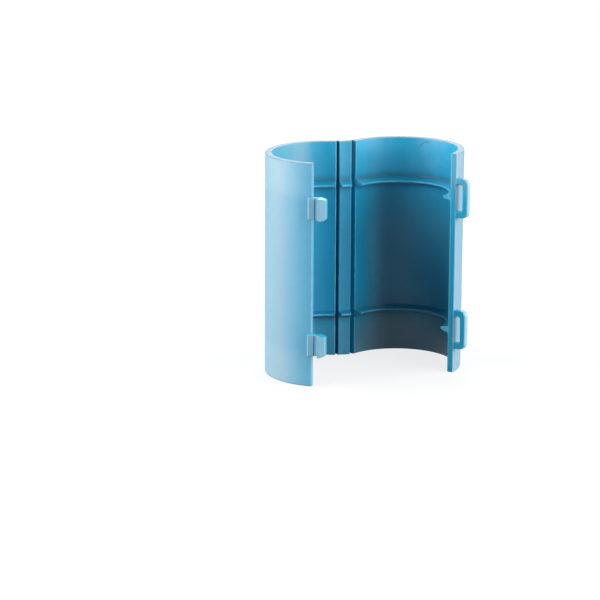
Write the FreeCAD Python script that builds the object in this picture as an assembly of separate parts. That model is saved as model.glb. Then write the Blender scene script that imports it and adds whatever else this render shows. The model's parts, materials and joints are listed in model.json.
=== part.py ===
import FreeCAD, Part
import math
import os

from FreeCAD import Rotation, Vector

# Split coupler for corrugated conduit: two half shells joined at the back by a narrow strip.
# The strip is hinged to each shell by a thin web at the outer surface, and the free edges
# snap together with two hooks that pass through two loops.
# Z is the bore axis of the shell with the loops, X points at its free edge, and z = 0 is the
# end it stands on. Everything is drawn shut round that axis, then swung open to rest.

# Tube, in millimetres and degrees
length = 96.0
bore_radius = 24.3
wall = 2.8
rim_round = 0.45

# Inner rings that lock in the conduit's grooves
ring_from_end = 19.2
ring_height = 3.6
ring_end_flank = 2.0
ring_middle_flank = 1.2
ring_tip_width = 0.7
ring_tip_round = 0.3
ring_root_round = 0.25

# Hinge strip and the two thin webs
hinge_spacing = 6.1
web_thickness = 0.24
web_width = 0.3
web_clearance = 0.03
groove_edge_round = 0.3

# Free edges
parting_gap = 0.1
parting_edge_round = 0.3

# Loops on one free edge
loop_from_end = 19.2
loop_height = 17.0
loop_reach = 5.5
loop_depth = 2.8
loop_corner = 2.6
loop_edge_round = 0.3
window_height = 11.7
window_reach = 3.0
window_corner = 1.0

# Hooks on the other free edge
hook_from_end = 18.7
hook_height = 9.25
hook_pad_length = 1.35
hook_pad_rise = 2.4
hook_saddle_rise = 2.1
hook_saddle_start = 1.4
hook_underside_gap = 0.4
lip_clearance = 0.6
head_height = 9.6
head_tip_height = 8.2
head_length = 3.2
head_rise = 5.0
head_tip_rise = 3.3
head_straight = 0.7
head_corner = 0.7
hook_edge_round = 0.25

# How far each hinge stands open at rest
loop_side_open_angle = 45.0
catch_side_open_angle = 27.9

# Lengths below this count as nothing
smallest = 0.0001

outer_radius = bore_radius + wall
half_gap = web_width / 2
hinge_radius = outer_radius - web_thickness / 2
hinge_angle = math.degrees(math.asin(hinge_spacing / 2 / hinge_radius))
axis_z = Vector(0, 0, 1)
origin = Vector(0, 0, 0)


def corner_arc(before, point, after, radius):
    """Start, centre and end of the arc that rounds a corner."""
    back = (before - point).normalize()
    ahead = (after - point).normalize()
    half = back.getAngle(ahead) / 2
    reach = radius / math.tan(half)
    centre = point + (back + ahead).normalize() * (radius / math.sin(half))
    return point + back * reach, centre, point + ahead * reach


def rounded_wire(corners, flats=0):
    """Closed wire through (point, radius) corners: tangent arcs, or a few flats along each arc."""
    count = len(corners)
    path = []
    for i, (point, radius) in enumerate(corners):
        if radius == 0:
            path.append((point, None, point))
        else:
            path.append(corner_arc(corners[i - 1][0], point, corners[(i + 1) % count][0], radius))
    edges = []
    for i, (enter, centre, leave) in enumerate(path):
        if centre:
            edges += arc_edges(enter, centre, leave, flats)
        following = path[(i + 1) % count][0]
        if leave.distanceToPoint(following) > smallest:
            edges.append(Part.LineSegment(leave, following).toShape())
    return Part.Wire(Part.__sortEdges__(edges))


def arc_edges(enter, centre, leave, flats):
    """One true arc, or that arc as equal flats, which turn into cones on a body of revolution."""
    start, end = enter - centre, leave - centre
    radius = start.Length
    if not flats:
        middle = centre + (start + end).normalize() * radius
        return [Part.Arc(enter, middle, leave).toShape()]
    turn = start.getAngle(end)
    points = []
    for step in range(flats + 1):
        share = step / flats
        blend = start * math.sin((1 - share) * turn) + end * math.sin(share * turn)
        points.append(centre + blend.normalize() * radius)
    return [Part.LineSegment(p, q).toShape() for p, q in zip(points, points[1:])]


def ring_corners(height):
    """The tooth of one ring, from its upper root to its lower one, in the XZ plane.

    Its flank towards the near end of the tube is the flatter one, so a conduit pushes in
    easily and pulls out hard.
    """
    tip_radius = bore_radius - ring_height
    above, below = ring_end_flank, ring_middle_flank
    if height < length / 2:
        above, below = below, above
    return [
        (Vector(bore_radius, 0, height + above), ring_root_round),
        (Vector(tip_radius, 0, height + ring_tip_width / 2), ring_tip_round),
        (Vector(tip_radius, 0, height - ring_tip_width / 2), ring_tip_round),
        (Vector(bore_radius, 0, height - below), ring_root_round),
    ]


def tube_sector(from_angle, to_angle):
    """Part of the tube wall with both rings, turned about the bore axis."""
    corners = [
        (Vector(outer_radius, 0, 0), rim_round),
        (Vector(outer_radius, 0, length), rim_round),
        (Vector(bore_radius, 0, length), rim_round),
        *ring_corners(length - ring_from_end),
        *ring_corners(ring_from_end),
        (Vector(bore_radius, 0, 0), rim_round),
    ]
    section = Part.Face(rounded_wire(corners, flats=2))
    section.rotate(origin, axis_z, from_angle)
    return section.revolve(origin, axis_z, to_angle - from_angle)


def plane_side(angle, offset, depth):
    """Block on one side of the plane that lies offset from the bore's radial plane at angle."""
    reach = outer_radius + loop_reach
    block = Part.makeBox(reach, abs(depth), length + 2 * wall)
    block.translate(Vector(0, offset if depth > 0 else offset + depth, -wall))
    block.rotate(origin, axis_z, angle)
    return block


def edges_of_cut(solid, angle, offset, inside_radius):
    """Upright straight edges of the cut face at angle and offset, within a radius."""
    straighten = Rotation(axis_z, -angle)
    chosen = []
    for edge in solid.Edges:
        if edge.BoundBox.ZLength < ring_end_flank + ring_middle_flank:
            continue
        points = [straighten.multVec(p) for p in edge.discretize(3)]
        if all(abs(p.y - offset) < smallest and 0 < p.x < inside_radius for p in points):
            chosen.append(edge)
    return chosen


def half_shell():
    """Half of the tube, on the +Y side of the shut coupler, from free edge to hinge."""
    hinge_side = 180 - hinge_angle
    shell = tube_sector(0, hinge_side)
    margin = 4 * half_gap
    shell = shell.cut(plane_side(hinge_side, -half_gap, margin))
    shell = shell.cut(plane_side(0, parting_gap / 2, -margin))
    groove_edges = edges_of_cut(shell, hinge_side, -half_gap, bore_radius + wall / 2)
    shell = shell.makeFillet(groove_edge_round, groove_edges)
    parting_edges = edges_of_cut(shell, 0, parting_gap / 2, outer_radius + wall)
    return shell.makeFillet(parting_edge_round, parting_edges)


def both_ends(from_end):
    return (from_end, length - from_end)


def plate_outline(x_low, x_high, height, corner, depth_from):
    """Upright rectangle whose two outer corners are round, in a plane of constant Y."""
    half = height / 2
    return rounded_wire([
        (Vector(x_low, depth_from, -half), 0),
        (Vector(x_high, depth_from, -half), corner),
        (Vector(x_high, depth_from, half), corner),
        (Vector(x_low, depth_from, half), 0),
    ])


def latch_loop(height):
    """Flat loop that stands out from the free edge, with a window for the hook."""
    root = outer_radius - wall / 2
    front = parting_gap / 2
    outline = plate_outline(root, outer_radius + loop_reach, loop_height, loop_corner, front)
    window = plate_outline(root, outer_radius + window_reach, window_height, window_corner, front)
    thickness = Vector(0, loop_depth, 0)
    loop = Part.Face(outline).extrude(thickness).cut(Part.Face(window).extrude(thickness))
    rounded = [e for e in loop.Edges if e.BoundBox.XMax > outer_radius + window_reach / 2
               and e.BoundBox.YLength < smallest]
    loop = loop.makeChamfer(loop_edge_round, rounded)
    loop.translate(Vector(0, 0, height))
    return loop


def latch_hook(height):
    """Hook that grows from a pad on the wall, passes the loop's window and ends in a head."""
    parting = -parting_gap / 2
    root = outer_radius - wall / 2
    underside = outer_radius + hook_underside_gap
    saddle = outer_radius + hook_saddle_rise
    pad = outer_radius + hook_pad_rise
    crown = outer_radius + head_rise
    lip = parting_gap / 2 + loop_depth + lip_clearance
    tip = lip + head_length
    pad_start = parting - hook_pad_length
    easing = hook_edge_round

    beam_plan = rounded_wire([
        (Vector(root, parting, 0), 0),
        (Vector(underside, parting, 0), 0),
        (Vector(underside, lip + easing, 0), 0),
        (Vector(saddle, lip + easing, 0), 0),
        (Vector(saddle, hook_saddle_start + easing, 0), easing),
        (Vector(pad, hook_saddle_start, 0), easing),
        (Vector(pad, pad_start, 0), 2 * easing),
        (Vector(root, pad_start - easing, 0), 0),
    ])
    beam = upright_prism(beam_plan, hook_height)
    beam_end = plate_outline(root, pad, hook_height, easing, pad_start - easing)
    beam_run = Vector(0, lip + 2 * easing - pad_start, 0)
    beam = beam.common(Part.Face(beam_end).extrude(beam_run))

    head_plan = rounded_wire([
        (Vector(underside, lip, 0), 0),
        (Vector(underside, tip, 0), easing),
        (Vector(outer_radius + head_tip_rise, tip, 0), head_corner),
        (Vector(crown, lip + head_straight, 0), head_corner),
        (Vector(crown, lip, 0), easing),
    ])
    head = upright_prism(head_plan, head_height)
    head_end = plate_outline(root, crown, head_height, 2 * easing, lip)
    head = head.common(Part.Face(head_end).extrude(Vector(0, head_length, 0)))
    low, low_tip = head_height / 2, head_tip_height / 2
    head_side = rounded_wire([
        (Vector(root, lip, -low), 0),
        (Vector(root, lip + head_straight, -low), head_corner),
        (Vector(root, tip, -low_tip), head_corner),
        (Vector(root, tip, low_tip), head_corner),
        (Vector(root, lip + head_straight, low), head_corner),
        (Vector(root, lip, low), 0),
    ])
    head = head.common(Part.Face(head_side).extrude(Vector(crown - root, 0, 0)))
    hook = beam.fuse(head).removeSplitter()
    hook.translate(Vector(0, 0, height))
    return hook


def upright_prism(outline, height):
    """Flat outline at z = 0 made a prism that reaches as far below it as above."""
    prism = Part.Face(outline).extrude(Vector(0, 0, height))
    prism.translate(Vector(0, 0, -height / 2))
    return prism


def hinge_point(side):
    """Where the hinge axis on the given side crosses z = 0, with the coupler shut."""
    across = side * hinge_spacing / 2
    return Vector(-math.sqrt(hinge_radius ** 2 - across ** 2), across, 0)


def strip():
    """The narrow back strip between the two hinges, a slice of the same tube."""
    sector = tube_sector(180 - hinge_angle, 180 + hinge_angle)
    margin = 4 * half_gap
    sector = sector.cut(plane_side(180 - hinge_angle, half_gap, -margin))
    sector = sector.cut(plane_side(180 + hinge_angle, -half_gap, margin))
    for side in (-1, 1):
        edges = edges_of_cut(sector, 180 + side * hinge_angle, -side * half_gap, bore_radius + wall / 2)
        sector = sector.makeFillet(groove_edge_round, edges)
    return sector


def web(side):
    """Thin film from the strip's edge to a rounded end on the hinge axis."""
    half = web_thickness / 2
    bead = half_gap - web_clearance
    film = Part.makeBox(2 * half, half_gap, length)
    film.translate(Vector(-half, 0, 0))
    film = film.fuse(Part.makeCylinder(min(bead, half), length)).removeSplitter()
    centre = hinge_point(side)
    turn = 180 - side * hinge_angle
    if side < 0:
        film.rotate(origin, Vector(1, 0, 0), 180)
        film.translate(Vector(0, 0, length))
    film.rotate(origin, axis_z, turn)
    film.translate(centre)
    return film


def swing(shape, point, angle):
    """Turned copy of a shape about the upright axis through a point."""
    turned = shape.copy()
    turned.rotate(point, axis_z, angle)
    return turned


def build():
    loop_side = half_shell()
    catch_side = half_shell().mirror(origin, Vector(0, 1, 0))
    for height in both_ends(loop_from_end):
        loop_side = loop_side.fuse(latch_loop(height))
    for height in both_ends(hook_from_end):
        catch_side = catch_side.fuse(latch_hook(height))
    loop_side = loop_side.removeSplitter()
    catch_side = catch_side.removeSplitter()

    first, second = hinge_point(1), hinge_point(-1)
    catch_side = swing(catch_side, second, -catch_side_open_angle)
    return {
        "loop_half": loop_side,
        "hinge_strip": swing(strip(), first, -loop_side_open_angle),
        "loop_side_web": swing(web(1), first, -loop_side_open_angle),
        "catch_side_web": swing(web(-1), first, -loop_side_open_angle),
        "catch_half": swing(catch_side, first, -loop_side_open_angle),
    }


os.makedirs("parts", exist_ok=True)
for node, shape in build().items():
    solid = shape.Solids[0] if len(shape.Solids) == 1 else shape
    solid.exportStep("parts/" + node + ".step")
    box = solid.BoundBox
    print(node, len(shape.Solids), "valid", solid.isValid(), "volume", round(solid.Volume, 2),
          [round(v, 2) for v in (box.XMin, box.YMin, box.ZMin, box.XMax, box.YMax, box.ZMax)])

catch_hinge = swing(Part.Vertex(hinge_point(-1)), hinge_point(1), -loop_side_open_angle).Point
print("loop side hinge at", hinge_point(1), "catch side hinge at", catch_hinge)
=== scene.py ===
"""Looks of the split conduit coupler: its moulded blue plastic, its two hinge films and the stage."""
import json
import math

import bpy
from bpy.props import FloatProperty, FloatVectorProperty, IntProperty, PointerProperty
from bpy.types import Operator, Panel, PropertyGroup
from mathutils import Matrix, Vector


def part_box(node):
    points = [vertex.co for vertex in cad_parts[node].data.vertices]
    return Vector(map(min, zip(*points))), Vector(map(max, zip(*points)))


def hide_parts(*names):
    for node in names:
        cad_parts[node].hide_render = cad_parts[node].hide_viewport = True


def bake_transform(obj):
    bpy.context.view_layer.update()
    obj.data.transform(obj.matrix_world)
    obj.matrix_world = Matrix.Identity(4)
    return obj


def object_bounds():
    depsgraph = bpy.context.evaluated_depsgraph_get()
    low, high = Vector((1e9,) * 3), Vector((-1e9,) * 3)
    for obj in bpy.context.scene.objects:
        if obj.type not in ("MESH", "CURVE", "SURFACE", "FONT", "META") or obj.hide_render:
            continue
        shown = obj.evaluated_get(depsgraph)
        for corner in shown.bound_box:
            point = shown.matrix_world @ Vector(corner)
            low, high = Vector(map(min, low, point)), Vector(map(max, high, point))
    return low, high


bl_info = {
    "name": "Split Conduit Coupler",
    "version": (1, 0, 0),
    "blender": (4, 5, 0),
    "location": "View3D > Sidebar > Coupler",
    "description": "Finishes a hinged conduit coupler in moulded plastic and sets its stage",
    "category": "Object",
}

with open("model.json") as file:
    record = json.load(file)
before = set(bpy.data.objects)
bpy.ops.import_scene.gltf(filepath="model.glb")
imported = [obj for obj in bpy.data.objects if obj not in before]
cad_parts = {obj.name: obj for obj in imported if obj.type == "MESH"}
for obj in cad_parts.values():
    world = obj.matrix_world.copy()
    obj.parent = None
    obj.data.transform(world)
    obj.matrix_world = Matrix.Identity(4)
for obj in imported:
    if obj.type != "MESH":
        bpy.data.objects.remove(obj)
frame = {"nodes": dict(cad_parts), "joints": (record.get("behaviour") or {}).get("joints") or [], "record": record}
cad_low, cad_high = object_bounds()

MM = 0.001

# The coupler as the frame gives it, in metres
joints = {joint["name"]: joint for joint in frame["joints"]}
upper_socket = {mount["name"]: mount for mount in frame["record"]["mounts"]}["upper_socket"]
length = upper_socket["pos_m"][2]
loop_hinge = Vector(joints["loop_side_hinge"]["pos_m"])
catch_hinge = Vector(joints["catch_side_hinge"]["pos_m"])
loop_side_open = math.radians(joints["loop_side_hinge"]["range_deg"][1])
catch_side_open = math.radians(joints["catch_side_hinge"]["range_deg"][1])

# How far each node stands turned at rest from where it is with the coupler shut
SWING = {
    "loop_half": 0.0,
    "hinge_strip": -loop_side_open,
    "catch_half": -loop_side_open - catch_side_open,
}

# The tube in millimetres, as the materials measure it: along, across, and round its outside
TUBE_LENGTH = length / MM
BORE = upper_socket["dims"]["r_mm"]
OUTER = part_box("loop_half")[1].y / MM
HINGE_ARC = math.atan2(loop_hinge.y, -loop_hinge.x) * OUTER
PARTING_ARC = math.pi * OUTER

# The rings inside, in millimetres
RING_FROM_END = 19.2
RING_TIP = BORE - 3.6
RING_ROOT_FROM_END = RING_FROM_END - 2.0

# Noises: cells for each millimetre, detail and roughness
BLOTCHES = (0.06, 3.0, 0.55)
SPECKLE = (1.1, 3.0, 0.6)
FLOW = (0.9, 3.0, 0.6)
GLOSS_PATCHES = (0.25, 4.0, 0.6)
GRAIN = (2.6, 3.0, 0.65)
WAVES = (0.16, 2.0, 0.5)
DIMPLES = (0.45, 2.0, 0.5)
LINE_PATCHES = (0.5, 3.0, 0.6)
EDGE_PATCHES = (0.9, 3.0, 0.6)
SCRATCH_LINES = (1.6, 1.0, 0.5)
SCRATCH_PATCHES = (0.11, 2.0, 0.5)
NOISE_MIDDLE = 0.5

# Pigment: how far flow marks are drawn out, and each pattern's part in the density
FLOW_STRETCH = (0.35, 0.03)
BLOTCH_PART, SPECKLE_PART, FLOW_PART = 0.4, 0.3, 0.3
PIGMENT_FADE = (0.36, 0.64)

# Hinge films: noises, how the lines are drawn out in x, y and z, their part in the colour, and relief
STRETCH_LINES = (1.0, 4.0, 0.7)
STRETCH_PATCHES = (0.3, 3.0, 0.6)
STRETCH = (9.0, 9.0, 0.12)
LINE_PART, PATCH_PART, STRETCH_FADE = 0.6, 0.4, (0.35, 0.65)
STRETCH_ROUGH_FADE, STRETCH_ROUGHNESS = (0.3, 0.7), (0.42, 0.6)
STRETCH_RELIEF = 0.01 * MM
SMOOTH_ANGLE = math.radians(40)

# Where masks start and end to fade along the radius, in millimetres
AT_INSIDE = (BORE + 0.2, BORE + 0.5)
OFF_RING_FLANK = (BORE - 1.5, BORE - 0.3)
INNER_CORNER = (BORE + 0.35, BORE + 0.9)
RING_CREST = (RING_TIP + 0.15, RING_TIP + 0.7)
AT_OUTSIDE = (OUTER - 0.35, OUTER - 0.1)
OUTER_CORNER = (OUTER - 0.6, OUTER - 0.2)
PAST_OUTER_CORNER = (OUTER + 0.05, OUTER + 0.2)
AT_LATCH = (OUTER, OUTER + 0.3)
LATCH_CROWN = (OUTER + 1.0, OUTER + 2.2)

# Where they fade along the height, from the foot or else from the nearer end, in millimetres
FOOT = (6.0, 30.0)
BELOW_UPPER_RING = (50.0, 80.0)
ABOVE_UPPER_RING = (TUBE_LENGTH - 20, TUBE_LENGTH - 10)
UPPER_END = (TUBE_LENGTH - 22, TUBE_LENGTH - 8)
END_FACE = (0.35, 0.55)
MOUTH = (RING_FROM_END - 8, RING_FROM_END - 2)

# Where they fade round the tube, and away from a line, in millimetres
# The two arcs place painted shade inside the loop half and painted sheen inside the catch half; the width after
# the sink width fades painted shade away from the ring roots
LOOP_HALF_SHADE_ARC = (8.0, 20.0)
CATCH_HALF_SHEEN_ARC = (14.0, 21.0)
SINK_WIDTH = (0.0, 3.2)
INNER_SHADE_WIDTH = (0.2, 3.0)
EDGE_LINE = (0.2, 0.75)
RIM_INSET = 0.25

# Where they fade by how a face turns: outward, up or down, and neither
OUTWARD = (0.3, 0.6)
UPRIGHT = (0.05, 0.45)
NOT_CUT = (0.15, 0.5)

# Painted sheen of the outside, paler at a slant: by the slant it is seen at, and by the density of the pigment
SHEEN_SLANT, SHEEN_SEEN_STRAIGHT = (0.02, 0.4), 0.32
SHEEN_DENSITY, SHEEN_THIN, SHEEN_DENSE = (0.3, 0.7), 0.8, 1.05

# The scuff inside the rim, in millimetres round the tube and up
SCUFF_ARC, SCUFF_HEIGHT = 41.6, 94.2
SCUFF_BEND, SCUFF_MIDDLE = 0.16, -1.6
SCUFF_WIDTH, SCUFF_REACH = (0.1, 0.5), (1.6, 3.0)
SCUFF_DEPTH = 0.03

# The scratches: slant and seed of each set, how far they are drawn out, and their depth in millimetres
SCRATCH_SETS = ((0.35, 0.0), (-0.7, 40.0))
SCRATCH_STRETCH = 0.05
SCRATCH_WIDTH, SCRATCH_SPREAD = (0.0, 0.006), (0.56, 0.7)
SCRATCH_DEPTH = 0.008

# How strongly each mark, painted shade, painted sheen and painted highlight shows in the colour
# Rim share: painted shade on the end faces. Crown and corner shares: painted highlights. The two halves' shares:
# painted shade and painted sheen inside. The shares by the rings and of the scuff: painted shade and the scuff's
# painted shadow. Edge share: worn edges partly painted as highlights.
RIM_SHADE_SHARE = 0.9
CUT_SHEEN_SHARE = 0.45
CROWN_HIGHLIGHT_SHARE = 0.5
CORNER_HIGHLIGHT_SHARE = 0.55
LOOP_HALF_SHADE_SHARE = 0.5
CATCH_HALF_SHEEN_SHARE = 0.6
INNER_SHADE_SHARE = 0.55
SCUFF_SHADOW_SHARE = 0.9
EDGE_SHARE = 0.5
SCRATCH_SHARE = 0.35
LINE_FADE, LINE_SHARES = (0.3, 0.65), (0.3, 0.6)
EDGE_FADE, EDGE_SHARES = (0.3, 0.62), (0.35, 1.0)
# Painted shade at the foot of each node, and the share of painted sheen on the cut faces low down
FOOT_SHADE = {"loop_half": 1.1, "hinge_strip": 0.3, "catch_half": 0.3}
LOW_CUT_SHEEN = {"loop_half": 0.0, "hinge_strip": 0.0, "catch_half": CUT_SHEEN_SHARE}

# Worn edges, partly rubbing and partly painted highlight: how like the bevelled normal is to the true one, and
# samples of the bevel
EDGE_LIKENESS = (0.985, 0.86)
BEVEL_SAMPLES = 6

# Gloss: how roughness and reflection differ from their settings
GLOSS_FADE, ROUGHNESS_SPREAD = (0.3, 0.7), 0.05
OUTSIDE_ROUGHER, WORN_AND_HIGHLIT_ROUGHER = 0.15, 0.12
MOUTH_SHINE, LOST_SHINE = 1.5, 0.7
PLASTIC_IOR = 1.5

# Camera: sensor width in millimetres, and clipping in metres
SENSOR_WIDTH = 36
CLIP_START, CLIP_END = 0.05, 20

# Lamps: degrees right of the camera and above the floor, width and height in metres, and level
SOFTBOXES = {
    "left_softbox": (-82, 20, 0.8, 0.5, 3.15),
    "right_softbox": (72, 20, 0.8, 0.5, 3.0),
    "back_softbox": (175, 35, 0.4, 0.3, 0.8),
}

# Floor and surround: tone as lit and in reflections, and glow with the distance from the origin in metres
FLOOR_TONE, FLOOR_TONE_REFLECTED = (0.12, 0.12, 0.12), (0.02, 0.02, 0.02)
SHADOW_GLOW, SHADOW_REACH = 0.8, (0.1, 0.35)
REFLECTED_GLOW, REFLECTED_REACH = (0.6, 0.03), (0.12, 0.4)
SURROUND_LEVEL, SURROUND_REFLECTED = 0.02, 0.2
FLOOR_DROP = 0.02 * MM


def turned(point, centre, angle):
    """A point turned about an upright axis through centre."""
    offset = point - centre
    across = Vector((-offset.y, offset.x, 0))
    return centre + Vector((offset.x, offset.y, 0)) * math.cos(angle) + across * math.sin(angle)


def bore_axis(node):
    """Where the bore axis of a node stands at rest: the shut axis swung by the open hinges."""
    centre = Vector((0, 0, 0))
    if node == "catch_half":
        strip_centre = turned(centre, loop_hinge, -loop_side_open)
        return turned(strip_centre, catch_hinge, -catch_side_open)
    if node == "hinge_strip":
        return turned(centre, loop_hinge, -loop_side_open)
    return centre


class PlasticSettings(PropertyGroup):
    """Colours and surface of the moulded plastic, with the colours of its painted shade, sheen and highlights."""

    colour: FloatVectorProperty(
        name="Colour", description="Colour of the plastic", subtype="COLOR",
        default=(0.004, 0.28, 0.46), min=0, max=1)
    deep_colour: FloatVectorProperty(
        name="Deep colour", description="Colour where the pigment is denser", subtype="COLOR",
        default=(0.003, 0.25, 0.42), min=0, max=1)
    # Painted sheen: the outside is made paler, more so where it is seen at a slant
    painted_sheen_colour: FloatVectorProperty(
        name="Hazy colour", description="Colour of the outside, paler for its fine mould texture",
        subtype="COLOR", default=(0.145, 0.25, 0.315), min=0, max=1)
    # Painted shade: the end faces are made darker, as they face up into the lamps
    painted_rim_shade_colour: FloatVectorProperty(
        name="Rim colour", description="Colour of the two end faces, duller than the outside",
        subtype="COLOR", default=(0.075, 0.15, 0.19), min=0, max=1)
    # Also the colour of painted highlight lines at inner corners and ring crests, and of edges partly painted as
    # highlights
    worn_and_highlight_colour: FloatVectorProperty(
        name="Worn colour", description="Paler colour of rubbed edges and scratches", subtype="COLOR",
        default=(0.13, 0.47, 0.62), min=0, max=1)
    # Painted highlight on the crowns of hooks and loops and on the outer corners of the wall
    painted_highlight_colour: FloatVectorProperty(
        name="Rubbed colour", description="Pale colour of the rubbed crowns of hooks and loops",
        subtype="COLOR", default=(0.22, 0.37, 0.46), min=0, max=1)
    # Painted shade by the ring roots and at the foot, and the scuff's painted shadow line
    painted_shade_colour: FloatVectorProperty(
        name="Grime colour", description="Dull colour of the dust by the rings and inside the foot",
        subtype="COLOR", default=(0.03, 0.1, 0.14), min=0, max=1)
    # Painted shade below the upper ring in the loop half and painted sheen above it in the catch half
    painted_shade_and_sheen_colour: FloatVectorProperty(
        name="Dusty colour", description="Colour of the thin films of dust inside the two halves",
        subtype="COLOR", default=(0.09, 0.24, 0.3), min=0, max=1)
    roughness: FloatProperty(
        name="Roughness", description="Mean roughness of the satin surface",
        default=0.42, min=0.05, max=1)
    shine: FloatProperty(
        name="Shine", description="Strength of the reflection, where 0.5 is that of the bare plastic",
        default=0.6, min=0, max=1)
    grain: FloatProperty(
        name="Grain", description="Height of the fine mould grain",
        default=0.006 * MM, min=0, unit="LENGTH", precision=6)
    waviness: FloatProperty(
        name="Waviness", description="Height of the slow unevenness of the walls",
        default=0.02 * MM, min=0, unit="LENGTH", precision=6)
    sink: FloatProperty(
        name="Sink marks", description="Depth of the shallow rings outside, behind the inner rings",
        default=0.008 * MM, min=0, unit="LENGTH", precision=6)
    edge_width: FloatProperty(
        name="Worn edge", description="Width of the rubbed edges",
        default=0.35 * MM, min=0, unit="LENGTH", precision=6)


class FilmSettings(PropertyGroup):
    """Sizes of the two thin films that the halves hinge on."""

    thickness: FloatProperty(
        name="Thickness", description="Thickness of the film",
        default=0.2 * MM, min=0.05 * MM, unit="LENGTH", precision=6)
    gap: FloatProperty(
        name="Gap", description="Free width of the film between strip and half",
        default=0.3 * MM, min=0.1 * MM, unit="LENGTH", precision=6)
    anchor: FloatProperty(
        name="Anchor", description="Width of the film held in the wall at each side",
        default=0.12 * MM, min=0, unit="LENGTH", precision=6)
    columns: IntProperty(
        name="Columns", description="Faces across the film", default=12, min=4, max=40)
    rows: IntProperty(
        name="Rows", description="Faces along the film", default=64, min=8, max=400)
    whitening: FloatVectorProperty(
        name="Whitening", description="Colour of the stretched plastic in the crease",
        subtype="COLOR", default=(0.16, 0.5, 0.68), min=0, max=1)


class StageSettings(PropertyGroup):
    """Camera, lamps and floor."""

    azimuth: FloatProperty(
        name="Azimuth", description="Turn of the camera about the bore axis",
        default=math.radians(32.1626), subtype="ANGLE", unit="ROTATION")
    elevation: FloatProperty(
        name="Elevation", description="Height of the camera above the horizon",
        default=math.radians(14.1853), subtype="ANGLE", unit="ROTATION")
    roll: FloatProperty(
        name="Roll", description="Lean of the camera",
        default=math.radians(0.2392), subtype="ANGLE", unit="ROTATION")
    distance: FloatProperty(
        name="Distance", description="Distance from the camera to its aim",
        default=1.08879, unit="LENGTH")
    aim_right: FloatProperty(
        name="Aim to the right", description="Aim right of the bore axis, as the camera sees it",
        default=-0.04302, unit="LENGTH")
    aim_up: FloatProperty(
        name="Aim up", description="Aim above half length, as the camera sees it",
        default=-0.01904, unit="LENGTH")
    lens: FloatProperty(
        name="Lens", description="Focal length for a 36 mm sensor, in millimetres",
        default=151.0, min=1, subtype="DISTANCE_CAMERA")
    lamp_distance: FloatProperty(
        name="Lamps", description="Distance from the object to each lamp", default=0.6, unit="LENGTH")
    floor_size: FloatProperty(
        name="Floor", description="Side of the square floor", default=5.0, unit="LENGTH")


def add_node(tree, kind, inputs=None, **settings):
    """Adds a shader node, with its settings, and gives its sockets a value or a link."""
    node = tree.nodes.new(kind)
    for name, value in settings.items():
        setattr(node, name, value)
    for name, value in (inputs or {}).items():
        if isinstance(value, bpy.types.NodeSocket):
            tree.links.new(value, node.inputs[name])
        else:
            node.inputs[name].default_value = value
    return node


def calculate(tree, operation, *values):
    """Output of a Math node."""
    return add_node(tree, "ShaderNodeMath", dict(enumerate(values)), operation=operation).outputs[0]


def product(tree, first, *others):
    for value in others:
        first = calculate(tree, "MULTIPLY", first, value)
    return first


def apart(tree, value, place):
    """How far a value is from a place, to either side."""
    return calculate(tree, "ABSOLUTE", calculate(tree, "SUBTRACT", value, place))


def ease(tree, value, span, low=0.0, high=1.0):
    """Value taken smoothly from the start and end of a span to low and high."""
    sockets = {"Value": value, "From Min": span[0], "From Max": span[1], "To Min": low, "To Max": high}
    return add_node(tree, "ShaderNodeMapRange", sockets, interpolation_type="SMOOTHSTEP").outputs[0]


def fade(tree, value, span):
    """Value taken smoothly from 1 at the start of a span to 0 at its end."""
    return ease(tree, value, span, 1.0, 0.0)


def noise(tree, place, scale, detail, roughness):
    """Noise from 0 to 1 with so many cells for each unit of place."""
    sockets = {"Vector": place, "Scale": scale, "Detail": detail, "Roughness": roughness}
    return add_node(tree, "ShaderNodeTexNoise", sockets).outputs["Fac"]


def dot(tree, first, second):
    """Dot product of two vectors."""
    sockets = {0: first, 1: second}
    return add_node(tree, "ShaderNodeVectorMath", sockets, operation="DOT_PRODUCT").outputs["Value"]


def mix_colour(tree, share, first, second):
    """Colour between two, by a share."""
    node = add_node(tree, "ShaderNodeMix", data_type="RGBA")
    for socket, value in ((node.inputs[0], share), (node.inputs[6], first), (node.inputs[7], second)):
        if isinstance(value, bpy.types.NodeSocket):
            tree.links.new(value, socket)
        elif socket.type == "RGBA":
            socket.default_value = (*value[:3], 1)
        else:
            socket.default_value = value
    return node.outputs[2]


def combine(tree, x, y, z):
    return add_node(tree, "ShaderNodeCombineXYZ", {0: x, 1: y, 2: z}).outputs[0]


def bumped(tree, shader, height, distance):
    """Gives the shader a bump whose height is in units of distance."""
    bump = add_node(tree, "ShaderNodeBump", {"Height": height, "Strength": 1.0, "Distance": distance})
    tree.links.new(bump.outputs[0], shader.inputs["Normal"])


def new_material(name):
    """A new material, its node tree and its shader."""
    material = bpy.data.materials.new(name)
    material.use_nodes = True
    return material, material.node_tree, material.node_tree.nodes["Principled BSDF"]


def millimetres(tree, centre, swing=0.0):
    """Object coordinates in millimetres from an upright axis, turned back by a swing."""
    place = add_node(tree, "ShaderNodeTexCoord").outputs["Object"]
    scale = 1 / MM
    back = Matrix.Rotation(-swing, 3, "Z")
    mapping = {
        "Vector": place,
        "Location": back @ centre * -scale,
        "Rotation": (0, 0, -swing),
        "Scale": (scale, scale, scale),
    }
    return add_node(tree, "ShaderNodeMapping", mapping).outputs[0]


def round_the_bore(tree, place):
    """Radius, arc length from the hinge side and height of a place, in millimetres."""
    x, y, height = add_node(tree, "ShaderNodeSeparateXYZ", {0: place}).outputs
    squares = calculate(tree, "ADD", product(tree, x, x), product(tree, y, y))
    angle = calculate(tree, "ARCTAN2", y, product(tree, x, -1.0))
    return calculate(tree, "SQRT", squares), product(tree, angle, OUTER), height


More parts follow.
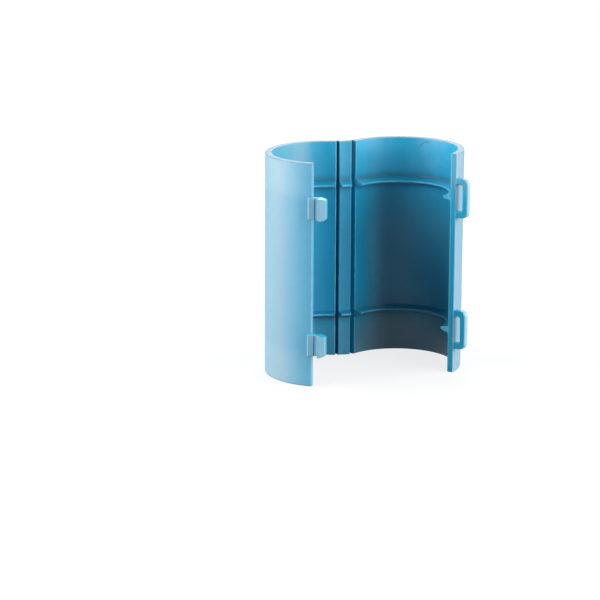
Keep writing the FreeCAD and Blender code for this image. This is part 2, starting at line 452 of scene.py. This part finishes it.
class Wall:
    """Places and masks on the moulding, in the shader tree of one of its nodes."""

    def __init__(self, tree, node):
        self.tree = tree
        self.place = millimetres(tree, bore_axis(node), SWING[node])
        self.radius, self.arc, self.height = round_the_bore(tree, self.place)
        to_top = calculate(tree, "SUBTRACT", TUBE_LENGTH, self.height)
        self.from_end = calculate(tree, "MINIMUM", self.height, to_top)
        self.inside = fade(tree, self.radius, AT_INSIDE)
        self.outside, self.ends, self.cut = facing_masks(self, SWING[node])


def facing_masks(wall, swing):
    """Masks of what faces away from the bore outside the wall, of the end faces and of the cut faces."""
    tree = wall.tree
    turning = {"Vector": add_node(tree, "ShaderNodeTexCoord").outputs["Normal"], "Angle": -swing}
    normal = add_node(tree, "ShaderNodeVectorRotate", turning, rotation_type="Z_AXIS").outputs[0]
    rise = add_node(tree, "ShaderNodeSeparateXYZ", {0: normal}).outputs[2]
    outward = calculate(tree, "SUBTRACT", dot(tree, wall.place, normal), product(tree, wall.height, rise))
    outward = calculate(tree, "DIVIDE", outward, wall.radius)
    outside = product(tree, ease(tree, wall.radius, AT_OUTSIDE), ease(tree, outward, OUTWARD))
    flat = ease(tree, calculate(tree, "ABSOLUTE", rise), UPRIGHT)
    ends = product(tree, fade(tree, wall.from_end, END_FACE), flat)
    squares = calculate(tree, "ADD", product(tree, outward, outward), product(tree, rise, rise))
    return outside, ends, fade(tree, squares, NOT_CUT)


def sink_marks(wall):
    """Shallow rings outside the wall, where the thicker rings inside drew it in as it cooled."""
    from_ring = apart(wall.tree, wall.from_end, RING_FROM_END)
    return product(wall.tree, fade(wall.tree, from_ring, SINK_WIDTH), wall.outside)


def painted_highlight_lines(wall):
    """Masks of painted highlight lines: inner corners and crests of the rings, and outer corners of the wall."""
    tree = wall.tree
    from_back = calculate(tree, "ABSOLUTE", wall.arc)
    groove = apart(tree, from_back, HINGE_ARC)
    parting = calculate(tree, "SUBTRACT", PARTING_ARC, from_back)
    rim = calculate(tree, "ADD", wall.from_end, RIM_INSET)
    edge = calculate(tree, "MINIMUM", calculate(tree, "MINIMUM", groove, parting), rim)
    near = fade(tree, edge, EDGE_LINE)
    inner_corners = product(tree, near, fade(tree, wall.radius, INNER_CORNER))
    lines = calculate(tree, "MAXIMUM", inner_corners, fade(tree, wall.radius, RING_CREST))
    outer_corner = product(
        tree, ease(tree, wall.radius, OUTER_CORNER), fade(tree, wall.radius, PAST_OUTER_CORNER))
    return lines, product(tree, near, outer_corner)


def painted_inner_shade(wall, foot_share):
    """Mask of painted shade inside: the corner on the end side of each ring, and the foot."""
    tree = wall.tree
    roots = fade(tree, apart(tree, wall.from_end, RING_ROOT_FROM_END), INNER_SHADE_WIDTH)
    foot = ease(tree, wall.height, FOOT, foot_share, 0.0)
    near = calculate(tree, "MAXIMUM", roots, foot)
    return product(tree, near, ease(tree, wall.radius, OFF_RING_FLANK), wall.inside)


def painted_shade_below(wall):
    """Mask of painted shade on the wall inside that lies away from the hinge and below the upper ring."""
    away = ease(wall.tree, wall.arc, LOOP_HALF_SHADE_ARC)
    return product(wall.tree, away, fade(wall.tree, wall.height, BELOW_UPPER_RING), wall.inside)


def painted_sheen_above(wall):
    """Mask of painted sheen on the wall inside that lies away from the hinge and above the upper ring."""
    away = ease(wall.tree, calculate(wall.tree, "ABSOLUTE", wall.arc), CATCH_HALF_SHEEN_ARC)
    return product(wall.tree, away, ease(wall.tree, wall.height, ABOVE_UPPER_RING), wall.inside)


def scuff(wall):
    """Mask of one short curved scuff inside the rim of the half with the loops: a shallow groove in the bump, and
    a painted shadow line in the colour.
    """
    tree = wall.tree
    along = calculate(tree, "SUBTRACT", wall.arc, SCUFF_ARC)
    bend = product(tree, along, along, SCUFF_BEND)
    across = calculate(tree, "ADD", calculate(tree, "SUBTRACT", wall.height, SCUFF_HEIGHT), bend)
    line = fade(tree, calculate(tree, "ABSOLUTE", across), SCUFF_WIDTH)
    reach = fade(tree, apart(tree, along, SCUFF_MIDDLE), SCUFF_REACH)
    return product(tree, line, wall.inside, reach)


def scratches(wall):
    """A few short thin scratches that lie at two slants, in patches."""
    tree = wall.tree
    sets = []
    for slant, seed in SCRATCH_SETS:
        along = calculate(tree, "MULTIPLY_ADD", wall.height, slant, wall.arc)
        across = calculate(tree, "MULTIPLY_ADD", wall.arc, -slant, wall.height)
        drawn_out = combine(
            tree, product(tree, along, SCRATCH_STRETCH), calculate(tree, "ADD", across, seed), seed)
        line = noise(tree, drawn_out, *SCRATCH_LINES)
        sets.append(fade(tree, apart(tree, line, NOISE_MIDDLE), SCRATCH_WIDTH))
    patches = ease(tree, noise(tree, wall.place, *SCRATCH_PATCHES), SCRATCH_SPREAD)
    return product(tree, calculate(tree, "MAXIMUM", *sets), patches)


def worn_and_highlit_edges(wall, width):
    """Mask of the edges of hooks and loops, partly rubbing and partly painted highlight, broken up as rubbing
    does.
    """
    tree = wall.tree
    rounded = add_node(tree, "ShaderNodeBevel", {"Radius": width}, samples=BEVEL_SAMPLES).outputs[0]
    true_normal = add_node(tree, "ShaderNodeNewGeometry").outputs["Normal"]
    edge = ease(tree, dot(tree, rounded, true_normal), EDGE_LIKENESS)
    broken = ease(tree, noise(tree, wall.place, *EDGE_PATCHES), EDGE_FADE, *EDGE_SHARES)
    return product(tree, edge, ease(tree, wall.radius, AT_LATCH), broken)


def unworn_colour(wall, node, flow, settings):
    """Colour of the plastic before wear: uneven pigment, painted sheen outside and on cut faces, painted shade on
    the rims and painted highlight on the crowns.
    """
    tree = wall.tree
    blotches = product(tree, noise(tree, wall.place, *BLOTCHES), BLOTCH_PART)
    speckle = noise(tree, wall.place, *SPECKLE)
    density = calculate(tree, "MULTIPLY_ADD", speckle, SPECKLE_PART, blotches)
    density = calculate(tree, "MULTIPLY_ADD", flow, FLOW_PART, density)
    body = mix_colour(tree, ease(tree, density, PIGMENT_FADE), settings.deep_colour, settings.colour)

    # Painted sheen: the outside is paler, the more so the more it is seen at a slant
    slant = add_node(tree, "ShaderNodeLayerWeight", {"Blend": 0.5}).outputs["Facing"]
    seen = ease(tree, slant, SHEEN_SLANT, SHEEN_SEEN_STRAIGHT, 1.0)
    sheen_share = product(tree, wall.outside, seen, ease(tree, density, SHEEN_DENSITY, SHEEN_THIN, SHEEN_DENSE))
    body = mix_colour(tree, sheen_share, body, settings.painted_sheen_colour)
    # Painted shade on the end faces
    body = mix_colour(tree, product(tree, wall.ends, RIM_SHADE_SHARE), body, settings.painted_rim_shade_colour)
    # Painted sheen on the cut faces, growing towards the upper end
    cut_sheen = ease(tree, wall.height, UPPER_END, LOW_CUT_SHEEN[node], CUT_SHEEN_SHARE)
    body = mix_colour(tree, product(tree, wall.cut, cut_sheen), body, settings.painted_sheen_colour)
    # Painted highlight on the crowns of hooks and loops
    crown_highlight = ease(tree, wall.radius, LATCH_CROWN, 0.0, CROWN_HIGHLIGHT_SHARE)
    return mix_colour(tree, product(tree, crown_highlight, wall.outside), body, settings.painted_highlight_colour)


def with_painted_light(wall, node, body, rub, settings):
    """Colour with painted shade and painted sheen inside, and with the scuff's painted shadow where the node has
    one.
    """
    tree = wall.tree
    if node == "loop_half":
        # Painted shade below the upper ring
        dust = product(tree, painted_shade_below(wall), LOOP_HALF_SHADE_SHARE)
        body = mix_colour(tree, dust, body, settings.painted_shade_and_sheen_colour)
    if node == "catch_half":
        # Painted sheen above the upper ring
        dust = product(tree, painted_sheen_above(wall), CATCH_HALF_SHEEN_SHARE)
        body = mix_colour(tree, dust, body, settings.painted_shade_and_sheen_colour)
    # Painted shade by the ring roots and at the foot
    shade_amount = product(tree, painted_inner_shade(wall, FOOT_SHADE[node]), INNER_SHADE_SHARE)
    if rub is not None:
        # The scuff's dark line is a painted shadow
        shade_amount = calculate(tree, "MAXIMUM", shade_amount, product(tree, rub, SCUFF_SHADOW_SHARE))
    return mix_colour(tree, shade_amount, body, settings.painted_shade_colour)


def surface_relief(wall, flow, marks, rub, settings):
    """Height of the surface in millimetres: grain, slow waves, flow marks, sink marks and scratches."""
    tree = wall.tree
    waviness = settings.waviness / MM
    relief = product(tree, noise(tree, wall.place, *GRAIN), settings.grain / MM)
    layers = [
        (noise(tree, wall.place, *WAVES), waviness),
        (noise(tree, wall.place, *DIMPLES), waviness),
        (flow, waviness / 4),
        (sink_marks(wall), -settings.sink / MM),
        (marks, -SCRATCH_DEPTH),
    ]
    if rub is not None:
        layers.append((rub, -SCUFF_DEPTH))
    for pattern, height in layers:
        relief = calculate(tree, "MULTIPLY_ADD", pattern, height, relief)
    return relief


def moulded_plastic(name, node, settings):
    """Satin moulded plastic with grain, slow waviness, flow marks, sink marks, worn edges partly painted as
    highlights, and painted shade and sheen.
    """
    material, tree, shader = new_material(name)
    wall = Wall(tree, node)
    rub = scuff(wall) if node == "loop_half" else None
    marks = scratches(wall)
    arc, height = (product(tree, *pair) for pair in zip((wall.arc, wall.height), FLOW_STRETCH))
    flow = noise(tree, combine(tree, arc, height, wall.radius), *FLOW)

    lines, corners = painted_highlight_lines(wall)
    body = with_painted_light(wall, node, unworn_colour(wall, node, flow, settings), rub, settings)
    # Painted highlight on the outer corners of the wall
    body = mix_colour(tree, product(tree, corners, CORNER_HIGHLIGHT_SHARE), body, settings.painted_highlight_colour)
    edges = product(tree, worn_and_highlit_edges(wall, settings.edge_width), EDGE_SHARE)
    # Painted highlight lines at inner corners and ring crests, broken up; with worn edges and scratches they take
    # the paler colour
    broken = ease(tree, noise(tree, wall.place, *LINE_PATCHES), LINE_FADE, *LINE_SHARES)
    lines = product(tree, lines, broken)
    rubbed = calculate(tree, "MAXIMUM", edges, lines)
    rubbed = calculate(tree, "MAXIMUM", rubbed, product(tree, marks, SCRATCH_SHARE))
    tree.links.new(mix_colour(tree, rubbed, body, settings.worn_and_highlight_colour), shader.inputs["Base Color"])

    smoothest, roughest = settings.roughness - ROUGHNESS_SPREAD, settings.roughness + ROUGHNESS_SPREAD
    rough = ease(tree, noise(tree, wall.place, *GLOSS_PATCHES), GLOSS_FADE, smoothest, roughest)
    rough = calculate(tree, "MULTIPLY_ADD", wall.outside, OUTSIDE_ROUGHER, rough)
    rough = calculate(tree, "MULTIPLY_ADD", rubbed, WORN_AND_HIGHLIT_ROUGHER, rough)
    tree.links.new(rough, shader.inputs["Roughness"])

    bumped(tree, shader, surface_relief(wall, flow, marks, rub, settings), MM)

    shader.inputs["IOR"].default_value = PLASTIC_IOR
    mouth = ease(tree, wall.from_end, MOUTH, MOUTH_SHINE, 1.0)
    flat_faces = calculate(tree, "MAXIMUM", wall.cut, wall.ends)
    dull = calculate(tree, "MULTIPLY_ADD", flat_faces, -LOST_SHINE, 1.0)
    tree.links.new(product(tree, mouth, dull, settings.shine), shader.inputs["Specular IOR Level"])
    return material


def stretched_plastic(name, centre, settings, film):
    """Plastic of a hinge film: paler where it stretches, with fine lines along the crease."""
    material, tree, shader = new_material(name)
    place = millimetres(tree, centre)
    parts = add_node(tree, "ShaderNodeSeparateXYZ", {0: place}).outputs
    drawn_out = combine(tree, *(product(tree, part, factor) for part, factor in zip(parts, STRETCH)))
    lines = noise(tree, drawn_out, *STRETCH_LINES)
    patches = product(tree, noise(tree, place, *STRETCH_PATCHES), PATCH_PART)
    share = ease(tree, calculate(tree, "MULTIPLY_ADD", lines, LINE_PART, patches), STRETCH_FADE)
    colour = mix_colour(tree, share, settings.colour, film.whitening)
    tree.links.new(colour, shader.inputs["Base Color"])
    rough = ease(tree, lines, STRETCH_ROUGH_FADE, *STRETCH_ROUGHNESS)
    tree.links.new(rough, shader.inputs["Roughness"])
    bumped(tree, shader, lines, STRETCH_RELIEF)
    return material


class COUPLER_OT_finish_plastic(Operator):
    """Give the half shells and the hinge strip their moulded plastic"""

    bl_idname = "coupler.finish_plastic"
    bl_label = "Finish Plastic"

    def execute(self, context):
        settings = context.scene.coupler_plastic
        for node in SWING:
            piece = frame["nodes"].get(node)
            if piece is None:
                raise RuntimeError(f"the frame has no node named {node}")
            piece.data.materials.clear()
            piece.data.materials.append(moulded_plastic(f"moulded_{node}", node, settings))
        return {"FINISHED"}


def select_vertices(piece, chosen):
    """Selects the vertices of the piece in edit mode whose place passes a test, and no others."""
    bpy.ops.mesh.select_mode(type="VERT")
    bpy.ops.mesh.select_all(action="DESELECT")
    bpy.ops.object.mode_set(mode="OBJECT")
    for vertex in piece.data.vertices:
        vertex.select = chosen(vertex.co)
    bpy.ops.object.mode_set(mode="EDIT")


def hinge_film(name, hinge, towards, bend, film):
    """Upright strip of film across a hinge, flat at one side and turned by the bend at the other.

    towards is the direction in which the flat side leaves the hinge.
    """
    bpy.ops.object.select_all(action="DESELECT")
    half = film.gap / 2 + film.anchor
    away = -towards
    turn = math.atan2(away.y, away.x)
    bpy.ops.mesh.primitive_grid_add(
        x_subdivisions=film.columns, y_subdivisions=film.rows, size=1,
        location=(hinge.x, hinge.y, length / 2), rotation=(math.pi / 2, 0, turn))
    piece = bpy.context.object
    piece.name = piece.data.name = name
    bpy.ops.transform.resize(value=(2 * half, length, 1), orient_type="LOCAL")
    bpy.ops.object.transform_apply(location=True, rotation=True, scale=True)

    bpy.ops.object.mode_set(mode="EDIT")
    step = 2 * half / film.columns
    bending = [i * step - half for i in range(1, film.columns) if abs(i * step - half) < film.gap / 2]
    for place in reversed(bending):
        pivot = hinge + away * place
        select_vertices(piece, lambda point: (point - hinge).dot(away) > place + step / 4)
        bpy.ops.transform.rotate(
            value=bend / len(bending), orient_axis="Z", orient_type="GLOBAL",
            center_override=(pivot.x, pivot.y, 0))
    bpy.ops.object.mode_set(mode="OBJECT")

    solidify = piece.modifiers.new("Thickness", "SOLIDIFY")
    solidify.thickness = film.thickness
    solidify.offset = 0
    bpy.ops.object.modifier_apply(modifier=solidify.name)
    bpy.ops.object.mode_set(mode="EDIT")
    bpy.ops.mesh.select_all(action="SELECT")
    bpy.ops.mesh.normals_make_consistent(inside=False)
    bpy.ops.object.mode_set(mode="OBJECT")
    bpy.ops.object.shade_smooth_by_angle(angle=SMOOTH_ANGLE)
    return piece


class COUPLER_OT_make_films(Operator):
    """Model the two thin films that join the hinge strip to the half shells"""

    bl_idname = "coupler.make_films"
    bl_label = "Make Hinge Films"

    def execute(self, context):
        plastic, film = context.scene.coupler_plastic, context.scene.coupler_film
        sides = (
            ("loop_side", loop_hinge, "loop_half", -loop_side_open, 1),
            ("catch_side", catch_hinge, "catch_half", catch_side_open, -1),
        )
        for side, hinge, body, bend, turn in sides:
            outward = (hinge - bore_axis(body)).normalized()
            towards = Vector((outward.y, -outward.x, 0)) * turn
            piece = hinge_film(f"{side}_film", hinge, towards, bend, film)
            piece.data.materials.append(stretched_plastic(f"stretched_{side}", hinge, plastic, film))
            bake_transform(piece)
            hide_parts(f"{side}_web")
        return {"FINISHED"}


def camera_axes(stage):
    """Right, up and back of the unrolled camera in the row frame."""
    level = math.cos(stage.elevation)
    back = Vector((
        math.sin(stage.azimuth) * level, -math.cos(stage.azimuth) * level, math.sin(stage.elevation)))
    right = Vector((math.cos(stage.azimuth), math.sin(stage.azimuth), 0))
    return right, back.cross(right), back


def add_camera(stage):
    right, up, back = camera_axes(stage)
    aim = Vector((0, 0, length / 2)) + right * stage.aim_right + up * stage.aim_up
    data = bpy.data.cameras.new("photo_camera")
    data.sensor_width = SENSOR_WIDTH
    data.lens = stage.lens
    data.clip_start, data.clip_end = CLIP_START, CLIP_END
    camera = bpy.data.objects.new("photo_camera", data)
    bpy.context.scene.collection.objects.link(camera)
    rolled = Matrix.Rotation(stage.roll, 3, back)
    axes = Matrix((rolled @ right, rolled @ up, back)).transposed()
    camera.matrix_world = Matrix.Translation(aim + back * stage.distance) @ axes.to_4x4()
    bpy.context.scene.camera = camera


def add_softbox(name, stage, around, above, width, tall, level):
    """Area lamp that faces the object, at an angle right of the camera and an angle above the floor.

    level is how bright a white surface that faces the lamp from the object's place renders.
    """
    right, _, back = camera_axes(stage)
    front = Vector((back.x, back.y, 0)).normalized()
    centre = (cad_low + cad_high) / 2
    around, above = math.radians(around), math.radians(above)
    level_way = right * math.sin(around) + front * math.cos(around)
    way = level_way * math.cos(above) + Vector((0, 0, math.sin(above)))
    data = bpy.data.lights.new(name, "AREA")
    data.shape = "RECTANGLE"
    data.size, data.size_y = width, tall
    data.energy = level * (math.pi * stage.lamp_distance) ** 2
    lamp = bpy.data.objects.new(name, data)
    bpy.context.scene.collection.objects.link(lamp)
    lamp.location = centre + way * stage.lamp_distance
    lamp.rotation_mode = "QUATERNION"
    lamp.rotation_quaternion = (-way).to_track_quat("-Z", "Y")
    lamp.visible_camera = False


def floor_material():
    """Pale floor: plain where it lights the object, and white to the camera but for the shadow."""
    material, tree, _ = new_material("pale_floor")
    tree.nodes.clear()
    ray = add_node(tree, "ShaderNodeLightPath").outputs
    tone = mix_colour(tree, ray["Is Glossy Ray"], FLOOR_TONE, FLOOR_TONE_REFLECTED)
    plain = add_node(tree, "ShaderNodeBsdfDiffuse", {"Color": tone}).outputs[0]
    place = add_node(tree, "ShaderNodeTexCoord").outputs["Object"]
    distance = add_node(tree, "ShaderNodeVectorMath", {0: place}, operation="LENGTH").outputs["Value"]
    glow = product(tree, ray["Is Camera Ray"], ease(tree, distance, SHADOW_REACH, SHADOW_GLOW, 1.0))
    sheen = product(tree, ray["Is Glossy Ray"], ease(tree, distance, REFLECTED_REACH, *REFLECTED_GLOW))
    glow = calculate(tree, "ADD", glow, sheen)
    glow = add_node(tree, "ShaderNodeEmission", {"Strength": glow}).outputs[0]
    both = add_node(tree, "ShaderNodeAddShader", {0: plain, 1: glow}).outputs[0]
    add_node(tree, "ShaderNodeOutputMaterial", {"Surface": both})
    return material


def white_surround():
    """World that is white to the camera, pale in reflections and lights the object at a low level."""
    world = bpy.data.worlds.new("surround")
    world.use_nodes = True
    tree = world.node_tree
    tree.nodes.clear()
    ray = add_node(tree, "ShaderNodeLightPath").outputs
    strength = calculate(tree, "MULTIPLY_ADD", ray["Is Glossy Ray"], SURROUND_REFLECTED, SURROUND_LEVEL)
    strength = calculate(tree, "MAXIMUM", strength, ray["Is Camera Ray"])
    shine = add_node(tree, "ShaderNodeBackground", {"Color": (1, 1, 1, 1), "Strength": strength}).outputs[0]
    add_node(tree, "ShaderNodeOutputWorld", {"Surface": shine})
    return world


class COUPLER_OT_set_stage(Operator):
    """Add the floor, the lamps, the surround and the camera"""

    bl_idname = "coupler.set_stage"
    bl_label = "Set Stage"

    def execute(self, context):
        stage = context.scene.coupler_stage
        bpy.ops.object.select_all(action="DESELECT")
        bpy.ops.mesh.primitive_plane_add(size=stage.floor_size, location=(0, 0, -FLOOR_DROP))
        floor = context.object
        floor.name = "floor"
        bpy.ops.object.transform_apply(location=True, rotation=True, scale=True)
        floor.data.materials.append(floor_material())
        context.scene.world = white_surround()
        for name, lamp in SOFTBOXES.items():
            add_softbox(name, stage, *lamp)
        add_camera(stage)
        context.scene.view_settings.view_transform = "Standard"
        return {"FINISHED"}


class COUPLER_PT_sidebar(Panel):
    """Lists the steps and settings of the coupler"""

    bl_idname = "COUPLER_PT_sidebar"
    bl_label = "Conduit Coupler"
    bl_space_type = "VIEW_3D"
    bl_region_type = "UI"
    bl_category = "Coupler"

    def draw(self, context):
        steps = (
            (COUPLER_OT_finish_plastic, context.scene.coupler_plastic),
            (COUPLER_OT_make_films, context.scene.coupler_film),
            (COUPLER_OT_set_stage, context.scene.coupler_stage),
        )
        for step, settings in steps:
            box = self.layout.box()
            box.operator(step.bl_idname)
            for name in settings.__annotations__:
                box.prop(settings, name)


SETTINGS = {
    "coupler_plastic": PlasticSettings,
    "coupler_film": FilmSettings,
    "coupler_stage": StageSettings,
}
OPERATORS = (COUPLER_OT_finish_plastic, COUPLER_OT_make_films, COUPLER_OT_set_stage)


def register():
    for name, group in SETTINGS.items():
        bpy.utils.register_class(group)
        setattr(bpy.types.Scene, name, PointerProperty(type=group))
    for item in (*OPERATORS, COUPLER_PT_sidebar):
        bpy.utils.register_class(item)


def unregister():
    for item in (COUPLER_PT_sidebar, *reversed(OPERATORS)):
        bpy.utils.unregister_class(item)
    for name, group in reversed(SETTINGS.items()):
        delattr(bpy.types.Scene, name)
        bpy.utils.unregister_class(group)


def main():
    register()
    bpy.ops.coupler.finish_plastic()
    bpy.ops.coupler.make_films()
    bpy.ops.coupler.set_stage()


if __name__ == "__main__":
    main()
